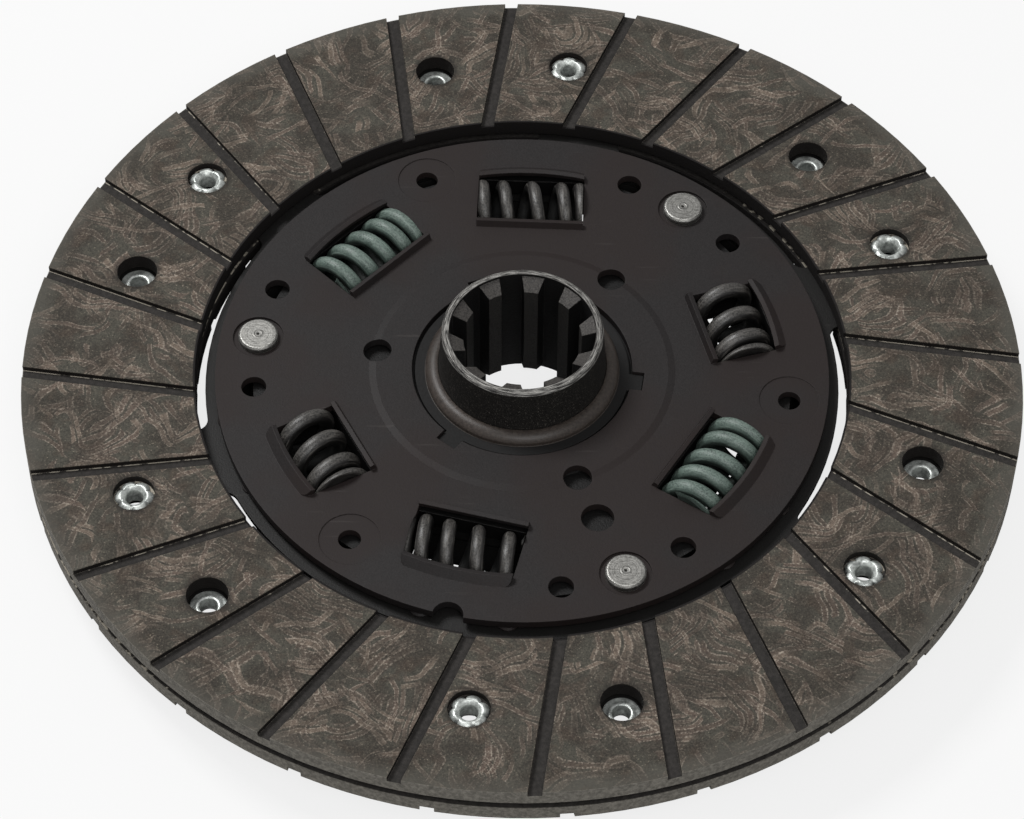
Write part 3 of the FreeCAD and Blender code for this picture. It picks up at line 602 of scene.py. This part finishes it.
def make_wire(name, dark, light, glint, roughness, level, shade):
    """Drawn wire, oiled black or thinly painted: streaked along the coil, with some dust, painted
    highlights on the streaks and the outside, and painted shade between the turns and below.
    """
    material, tree, shader, place = begin(name, {"Specular IOR Level": level})
    wire = add(tree, "Attribute", attribute_name="wire").node.outputs["Vector"]
    streaks = add(tree, "VectorMath", wire, (1.0, 1.0, 0.12), **TIMES)
    streaks = add(tree, "TexNoise", streaks, 2.2, 3.0, 0.6)
    grit = add(tree, "TexNoise", place, 1 / 0.35, 2.0, 0.7)
    cloud = add(tree, "TexNoise", place, 1 / 3.0, 2.0)
    tone = add(tree, "MapRange", add(tree, "Math", grit, cloud, **PLUS), 0.75, 1.25)
    colour = add(tree, "Mix", tone, linear(dark), linear(light), **RGBA)
    # Painted highlight, partly real drawing marks: streaks along the wire take the glint colour
    shine = add(tree, "MapRange", streaks, 0.52, 0.70, 0.0, 0.7, **SOFT)
    colour = add(tree, "Mix", shine, colour, linear(glint), **RGBA)
    out = add(tree, "SeparateXYZ", wire)
    # Dust and painted highlight: the coil's outside takes the glint colour
    crown = add(tree, "MapRange", out, 0.9, 1.4, 0.0, 0.6, **SOFT)
    dust_and_highlight = add(tree, "Math", crown, add(tree, "MapRange", grit, 0.36, 0.64), **TIMES)
    colour = add(tree, "Mix", dust_and_highlight, colour, linear(glint), **RGBA)
    # Painted shade: the wire's flanks towards the coil's middle go near black
    painted_gap_shade = add(tree, "MapRange", out, 0.8, 0.1, 0.0, 0.75, **SOFT)
    colour = add(tree, "Mix", painted_gap_shade, colour, linear("#0A0A09"), **RGBA)
    # Painted shade: the lower half of the coil goes near black
    painted_lower_shade = add(tree, "SeparateXYZ", place).node.outputs["Z"]
    painted_lower_shade = add(tree, "MapRange", painted_lower_shade, SPRING_Z + 1.0, SPRING_Z - 2.0, 0.0, shade, **SOFT)
    colour = add(tree, "Mix", painted_lower_shade, colour, linear("#060605"), **RGBA)
    rough = add(tree, "Math", streaks, 0.3, roughness - 0.10, operation="MULTIPLY_ADD")
    rough = add(tree, "Math", painted_lower_shade, 0.4, rough, operation="MULTIPLY_ADD")
    plain = add(tree, "NewGeometry").node.outputs["Normal"]
    height = add(tree, "Math", grit, streaks, **PLUS)
    end(tree, shader, colour, rough, height, 0.05, plain)
    return material


def make_bush():
    """Moulded friction polymer: satin grey-brown on the collar, painted nearly black on the step
    as shade.
    """
    material, tree, shader, place = begin("moulded_filled_polymer", {"Specular IOR Level": 0.35})
    rounded = edges(tree, 0.3)[0]
    radius = about_axis(tree, place)[2]
    fine = add(tree, "TexNoise", place, 1 / 0.5, 4.0, 0.6)
    tone = add(tree, "MapRange", fine, 0.3, 0.7)
    collar = add(tree, "Mix", tone, linear("#2B2623"), linear("#423B36"), **RGBA)
    # Painted shade: the step beside the collar is mixed to near black
    outside = add(tree, "MapRange", radius, COLLAR_R + 0.05, COLLAR_R + 0.2, **SOFT)
    colour = add(tree, "Mix", outside, collar, linear("#080707"), **RGBA)
    rough = add(tree, "Math", fine, 0.2, 0.33, operation="MULTIPLY_ADD")
    rough = add(tree, "Math", outside, 0.3, rough, operation="MULTIPLY_ADD")
    end(tree, shader, colour, rough, fine, 0.04, rounded)
    return material


# Dark, light and glint, then roughness, specular level, and how black the lower half is painted as
# shade
spring_paint = make_wire("dipped_spring_paint", "#37433E", "#55635C", "#74837B", 0.42, 0.5, 0.3)
spring_black = make_wire("oiled_black_spring", "#0F0E0D", "#211F1E", "#5F5C58", 0.38, 0.6, 0.9)
bush_polymer = make_bush()
print("springs and bush", spring_paint.name, spring_black.name, bush_polymer.name)

# %% [markdown]
# ## Putting the finishes on the solids
# Each solid keeps its mesh and only gets a better material. The table names which finish
# belongs to which piece.

# %% Assign the finishes
FINISHES = {
    "hub": hub_steel,
    "retainer_plate": plate_steel,
    "drive_plate": drive_shade_steel,
    "cushion_disc": strip_steel,
    "upper_facing": lining,
    "lower_facing": lining,
    "cushion_rivets": plate_steel,
    "upper_facing_rivets": zinc,
    "lower_facing_rivets": zinc,
    "upper_friction_bush": bush_polymer,
    "lower_centring_bush": bush_polymer,
    "lower_friction_ring": bush_polymer,
    "support_washer": strip_steel,
    "disc_spring": strip_steel,
}
FINISHES.update({name: pin_steel for name in PINS})
PAINTED = ("torsion_spring_2", "torsion_spring_5")
FINISHES.update({name: spring_paint if name in PAINTED else spring_black for name in SPRINGS})
for name, finish in FINISHES.items():
    nodes[name].data.materials.clear()
    nodes[name].data.materials.append(finish)
print("finished", len(FINISHES), "solids")


# %% [markdown]
# ## New pieces from surfaces
# A new piece is a grid of points worked out with numpy: rows run along it and columns round it.
# One function joins a grid into quads, and one makes a piece that rides on the disc. A coil or
# a rivet set stands in for its solid, which stays hidden below it for the size and the physics.


# %% Turn grids of points into pieces
def grid_quads(rows, columns, loop):
    """Quads of a grid, closed round its columns, and round its rows too where it is a loop."""
    bands = np.arange(rows if loop else rows - 1)
    row, column = np.meshgrid(bands, np.arange(columns), indexing="ij")
    below, after = (row + 1) % rows, (column + 1) % columns
    corners = [row * columns + column, row * columns + after]
    corners += [below * columns + after, below * columns + column]
    return np.stack([c.ravel() for c in corners], axis=1)


def new_piece(name, points, faces, finish, smooth=True):
    """A piece from points and faces, with its finish, that rides on the disc."""
    mesh = bpy.data.meshes.new(name)
    mesh.from_pydata(points.tolist(), [], faces)
    mesh.validate()
    mesh.polygons.foreach_set("use_smooth", [smooth] * len(mesh.polygons))
    mesh.materials.append(finish)
    piece = bpy.data.objects.new(name, mesh)
    bpy.context.scene.collection.objects.link(piece)
    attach(piece, "disc")
    return piece


print("grids of points can become pieces")

# %% [markdown]
# ## Facing rivets
# A facing rivet is a short open tube. Its preformed end is a flat flange round a low lip, and
# the other end is flared by a star-shaped punch, which splits it into six petals round a
# funnel. The profile below is a closed loop of radius and height from the bore up over the
# petals, down the outside and back under the flange, and rounds off by taking the mean of
# neighbouring points. A petal is as wide as a power of the cosine of three times the angle.

# %% Build the rivets
RIVET_PROFILE = [
    # radius, height over the seat of the petals, how far a gap between petals draws it in
    (1.75, -3.24, 0.0), (1.72, -2.2, 0.0), (1.70, -1.0, 0.0), (1.70, 0.0, 0.0),
    (1.80, 0.30, 0.0), (2.10, 0.66, 0.05), (2.45, 0.94, 0.12), (2.80, 1.00, 0.25),
    (3.20, 0.84, 0.4), (3.60, 0.60, 0.6), (3.88, 0.34, 0.8), (3.88, 0.12, 0.8),
    (3.60, 0.02, 0.6), (3.00, 0.0, 0.2), (2.50, 0.0, 0.0), (2.50, -1.0, 0.0),
    (2.50, -2.60, 0.0), (3.05, -2.62, 0.0), (3.62, -2.64, 0.0), (3.74, -2.80, 0.0),
    (3.70, -3.02, 0.0), (3.45, -3.10, 0.0), (3.10, -3.12, 0.0), (2.80, -3.16, 0.0),
    (2.50, -3.30, 0.0), (2.20, -3.38, 0.0), (1.95, -3.34, 0.0),
]
PETALS = 6
PETAL_POWER = 0.45  # below one, so that a petal is wide and the gap beside it narrow
PETAL_DROOP = 0.35  # how far a gap sinks, as a share of how far it is drawn in
SPIN = 17.0  # degrees from one rivet's petals to the next one's


def one_rivet(columns=72, fill=3):
    """Points and faces of a rivet at the origin, petals up: the profile turned round, its radius
    drawn in between petals by depth times one minus the petal shape, and its height lowered
    there a little."""
    profile = np.array(RIVET_PROFILE)
    steps = np.arange(len(profile) * fill) / fill
    low = steps.astype(int)
    part = (steps - low)[:, None]
    rows = profile[low] * (1 - part) + profile[(low + 1) % len(profile)] * part
    rows = (np.roll(rows, 1, axis=0) + 2 * rows + np.roll(rows, -1, axis=0)) / 4
    angle = np.linspace(0, 2 * np.pi, columns, endpoint=False)
    petal = np.abs(np.cos(PETALS / 2 * angle)) ** PETAL_POWER
    gap = rows[:, 2:3] * (1 - petal)[None, :]
    radius = rows[:, 0:1] - gap
    height = rows[:, 1:2] - PETAL_DROOP * gap
    skin = np.stack([radius * np.cos(angle), radius * np.sin(angle), height + 0 * radius], axis=2)
    return skin.reshape(-1, 3) * MM, grid_quads(len(rows), columns, True)[:, ::-1].tolist()


def rivet_set(name, stands_for, turns, seat, way_up):
    """Six rivets at their angles, each turned by its own amount, petals up or down."""
    single, own = one_rivet()
    x, y, z = single.T
    points, faces = [], []
    for number, place in enumerate(turns):
        spin = math.radians(place + SPIN * number)
        turned = [x * math.cos(spin) - y * math.sin(spin), x * math.sin(spin) + y * math.cos(spin)]
        points.append(np.stack([*turned, way_up * z], axis=1) + polar(RIVET_R, place, seat))
        faces += [[corner + number * len(x) for corner in face[::way_up]] for face in own]
    rivets = new_piece(name, np.concatenate(points), faces, FINISHES[stands_for])
    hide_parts(stands_for)
    return rivets


SEAT_DEPTH = 1.7 * MM
seat_above, seat_below = FACE_TOP - SEAT_DEPTH, LOWER_FACE + SEAT_DEPTH
star_turns = [middle - PAIR_HALF for middle in PAIRS]
flange_turns = [middle + PAIR_HALF for middle in PAIRS]
stars = rivet_set("star_rivets", "upper_facing_rivets", star_turns, seat_above, 1)
flanges = rivet_set("flange_rivets", "lower_facing_rivets", flange_turns, seat_below, -1)
print("rivets", len(stars.data.polygons), "and", len(flanges.data.polygons), "faces")


# %% [markdown]
# ## Torsion springs
# Each spring is round wire, coiled right-hand, closed at both ends and ground flat there. Its
# centre line is a helix whose height is given where it crosses the top of its coil, once a
# turn, and is smoothed in between, so each spring's spacing follows the photograph. The wire's
# skin is a circle carried along that line. A point past a ground end is pressed back onto the
# end's plane, which makes the flat.

# %% Spring sizes
SPRING_RADIUS = 44.7 * MM
# Wire and outer width, and half the length between the ground ends, in mm
LONG = {"wire": 2.8, "outer": 13.6, "half": 10.85}
MAIN = {"wire": 3.2, "outer": 13.7, "half": 10.85}
SHORT = {"wire": 3.2, "outer": 13.6, "half": 8.85}
# For each spring: its angle, its kind, where each turn crosses the top, clockwise positive, and
# how far round the curled lips below it reach, in degrees below the horizontal
COILS = [
    (88.0, LONG, [-10.0, -5.5, 1.0, 7.2, 10.5], 80.0),
    (136.0, MAIN, [-12.2, -8.5, -3.5, 1.5, 6.2, 10.0], 52.0),
    (208.0, SHORT, [-8.8, -5.0, 1.5, 8.0], 87.0),
    (256.0, LONG, [-12.1, -9.0, -2.5, 3.5, 8.5, 11.6], 68.0),
    (328.0, MAIN, [-10.3, -6.5, -1.0, 3.6, 8.0, 11.8], 87.0),
    (16.0, SHORT, [-8.2, -1.0, 5.0, 8.7], 72.0),
]
AROUND = 24
TURN_STEPS = 64
print("springs to build", len(COILS))

# %% [markdown]
# A coil is worked out along Z about the origin, where a helix is easy to write, and then laid
# into its window. Its two ends are closed by a fan of triangles round the wire's middle.


# %% Build the springs
def spring_skin(kind, crossings):
    """A coil along Z, centred on the origin: a circle carried along a helix whose height comes
    from its crossings, run on by a wire's width a turn at each end, and clipped to its ends."""
    wire, half = kind["wire"] / 2, kind["half"]
    middle = kind["outer"] / 2 - wire
    known = [crossings[0] - kind["wire"], *crossings, crossings[-1] + kind["wire"]]
    at = np.arange(0, (len(known) - 1) * TURN_STEPS + 1) / TURN_STEPS
    height = np.interp(at, np.arange(len(known)), known)
    blur = TURN_STEPS // 2
    before = 2 * height[0] - height[blur:0:-1]
    beyond = 2 * height[-1] - height[-2 : -blur - 2 : -1]
    padded = np.concatenate([before, height, beyond])
    height = np.convolve(padded, np.ones(2 * blur + 1) / (2 * blur + 1), mode="valid")
    kept = np.abs(height) < half + 0.35 * kind["wire"]
    at, height = at[kept], height[kept]
    angle = 2 * np.pi * at
    line = np.stack([middle * np.cos(angle), middle * np.sin(angle), height], axis=1)
    ahead = np.gradient(line, axis=0)
    ahead /= np.linalg.norm(ahead, axis=1)[:, None]
    outward = np.stack([np.cos(angle), np.sin(angle), 0 * angle], axis=1)
    upward = np.cross(ahead, outward)
    turn = np.linspace(0, 2 * np.pi, AROUND, endpoint=False)
    skin = line[:, None, :]
    skin = skin + wire * np.cos(turn)[None, :, None] * outward[:, None, :]
    skin = skin + wire * np.sin(turn)[None, :, None] * upward[:, None, :]
    skin[:, :, 2] = np.clip(skin[:, :, 2], -half, half)
    round_it = np.stack([wire * np.cos(turn), wire * np.sin(turn)], axis=1)
    round_it = np.broadcast_to(round_it, (len(at), AROUND, 2))
    along = np.broadcast_to((angle * middle)[:, None, None], (len(at), AROUND, 1))
    return skin * MM, np.concatenate([round_it, along], axis=2)


def along_window(points, angle, height):
    """Lays a coil made along Z into its window: its axis runs clockwise round the disc."""
    turn = math.radians(angle)
    outward = np.array([math.cos(turn), math.sin(turn), 0])
    clockwise = np.array([math.sin(turn), -math.cos(turn), 0])
    upward = np.array([0, 0, 1.0])
    frame_of = np.stack([upward, np.cross(clockwise, upward), clockwise])
    return outward * SPRING_RADIUS + upward * height + points @ frame_of


for number, (angle, kind, crossings, _) in enumerate(COILS, start=1):
    name = "torsion_spring_" + str(number)
    skin, wire = spring_skin(kind, crossings)
    rows, columns = skin.shape[:2]
    skin = along_window(skin, angle, centre_of(name).z)
    ends = np.stack([skin[0].mean(axis=0), skin[-1].mean(axis=0)])
    points = np.concatenate([skin.reshape(-1, 3), ends])
    ring = np.arange(columns)
    after = (ring + 1) % columns
    tip, final = rows * columns, (rows - 1) * columns
    first = np.stack([0 * ring + tip, after, ring], axis=1)
    last = np.stack([0 * ring + tip + 1, final + ring, final + after], axis=1)
    faces = grid_quads(rows, columns, False).tolist() + first.tolist() + last.tolist()
    coil = new_piece("coil_" + str(number), points, faces, FINISHES[name])
    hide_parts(name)
    wire = np.concatenate([wire.reshape(-1, 3), wire[0, :1], wire[-1, :1]])
    marks = coil.data.attributes.new("wire", "FLOAT_VECTOR", "POINT")
    marks.data.foreach_set("vector", wire.ravel())
    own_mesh(coil)
print("coils", len(COILS))

# %% [markdown]
# ## The curled lips under the springs
# On the gearbox side the drive plate's lips run on as a curl that holds each spring from below
# and leaves a slot along its middle. A curl is a strip of sheet bent about the spring's axis:
# its section is two arcs, out along the inner radius and back along the outer one.

# %% Build the curled lips
CURL_IN, CURL_OUT = 7.3 * MM, 8.5 * MM
CURL_FROM = 31.0  # degrees below the horizontal
CURL_SHORT = 0.5  # mm left free at each end of a window


def curl_skin(angle, half, side, reach):
    """One curl: its closed section of two arcs about the spring's axis, carried along it."""
    bend = -np.radians(np.linspace(CURL_FROM, reach, 12))
    arc = np.stack([np.cos(bend), np.sin(bend)], axis=1)
    section = np.concatenate([arc * CURL_IN, arc[::-1] * CURL_OUT])
    along = np.linspace(-half, half, 8)
    turn = math.radians(angle)
    outward = np.array([math.cos(turn), math.sin(turn), 0])
    aside = np.array([-math.sin(turn), math.cos(turn), 0])
    upward = np.array([0, 0, 1.0])
    flat = section[:, 0:1] * side * outward + section[:, 1:2] * upward
    return outward * SPRING_RADIUS + flat[None, :, :] + along[:, None, None] * aside


points, faces, count = [], [], 0
for number, (angle, kind, _, reach) in enumerate(COILS, start=1):
    for side in (-1, 1):
        skin = curl_skin(angle, (kind["half"] - CURL_SHORT) * MM, side, reach)
        skin = skin + [0, 0, centre_of("torsion_spring_" + str(number)).z]
        rows, columns = skin.shape[:2]
        quads = grid_quads(rows, columns, False)
        caps = [list(range(columns)), list(range((rows - 1) * columns, rows * columns))[::-1]]
        group = quads.tolist() + caps
        if side > 0:
            group = [corners[::-1] for corners in group]
        points.append(skin.reshape(-1, 3))
        faces += [[corner + count for corner in corners] for corners in group]
        count += rows * columns
points = np.concatenate(points)
# The curls take the lower plate's finish, painted nearly black as shade
new_piece("spring_curls", points, faces, drive_shade_steel, smooth=False)
print("curled lips", len(faces), "faces")

# %% [markdown]
# ## Floor and light
# The photograph is a cut-out on white with soft light from above and a little behind. The floor
# is pale, looks white to the camera, more so further out, and still takes the disc's shadow.
# The sky lights the disc only a little, so that the dark steels stay dark, and shows as white.

# %% Floor, world and lamps
floor_mesh = bpy.data.meshes.new("floor")
FLOOR_HALF = 3.0
corners = [(x * FLOOR_HALF, y * FLOOR_HALF, 0) for x, y in ((-1, -1), (1, -1), (1, 1), (-1, 1))]
floor_mesh.from_pydata(corners, [], [(0, 1, 2, 3)])
floor = bpy.data.objects.new("floor", floor_mesh)
bpy.context.scene.collection.objects.link(floor)
floor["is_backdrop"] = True

WHITE_FROM, WHITE_TO = 0.13, 0.8  # metres from the axis
floor_paper = bpy.data.materials.new("white_paper")
floor_paper.use_nodes = True
tree = floor_paper.node_tree
tree.nodes.clear()
paper = add(tree, "BsdfDiffuse", linear("#D0D0D0"))
glow = add(tree, "Emission", (1, 1, 1, 1), 1.0)
rays = add(tree, "LightPath").node.outputs
away = add(tree, "VectorMath", add(tree, "TexCoord").node.outputs["Object"], **LENGTH)
white = add(tree, "MapRange", away, WHITE_FROM, WHITE_TO, 0.8, 1.0, **SOFT)
seen = add(tree, "Math", rays["Is Camera Ray"], white, **TIMES)
mixed = add(tree, "MixShader", seen, paper, glow)
add(tree, "OutputMaterial", mixed)
floor_mesh.materials.append(floor_paper)

SKY_LIGHT = 0.38
world = bpy.data.worlds.new("studio")
world.use_nodes = True
bpy.context.scene.world = world
tree = world.node_tree
tree.nodes.clear()
rays = add(tree, "LightPath").node.outputs
seen = add(tree, "Math", rays["Is Camera Ray"], rays["Is Transmission Ray"], operation="MAXIMUM")
strength = add(tree, "Math", seen, 1 - SKY_LIGHT, SKY_LIGHT, operation="MULTIPLY_ADD")
sky = add(tree, "Background", (1, 1, 1, 1), strength)
add(tree, "OutputWorld", sky)


def lamp(name, place, size, watts):
    """A square soft light that faces the foot of the disc's axis."""
    light = bpy.data.lights.new(name, "AREA")
    light.size = size
    light.energy = watts
    holder = bpy.data.objects.new(name, light)
    holder.location = place
    holder.rotation_euler = (-Vector(place)).to_track_quat("-Z", "Y").to_euler()
    bpy.context.scene.collection.objects.link(holder)


# Place and size in metres, then watts
lamp("key", (-0.50, 0.42, 0.95), 0.35, 9.0)
lamp("front", (0.10, -0.62, 0.85), 0.5, 4.0)
print("floor and lamps")

# %% Measure the dressed box and finish
dressed_low, dressed_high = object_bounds()
extent = [[round(v / MM, 2) for v in corner] for corner in (dressed_low, dressed_high)]
print("dressed from", extent[0], "to", extent[1], "mm")
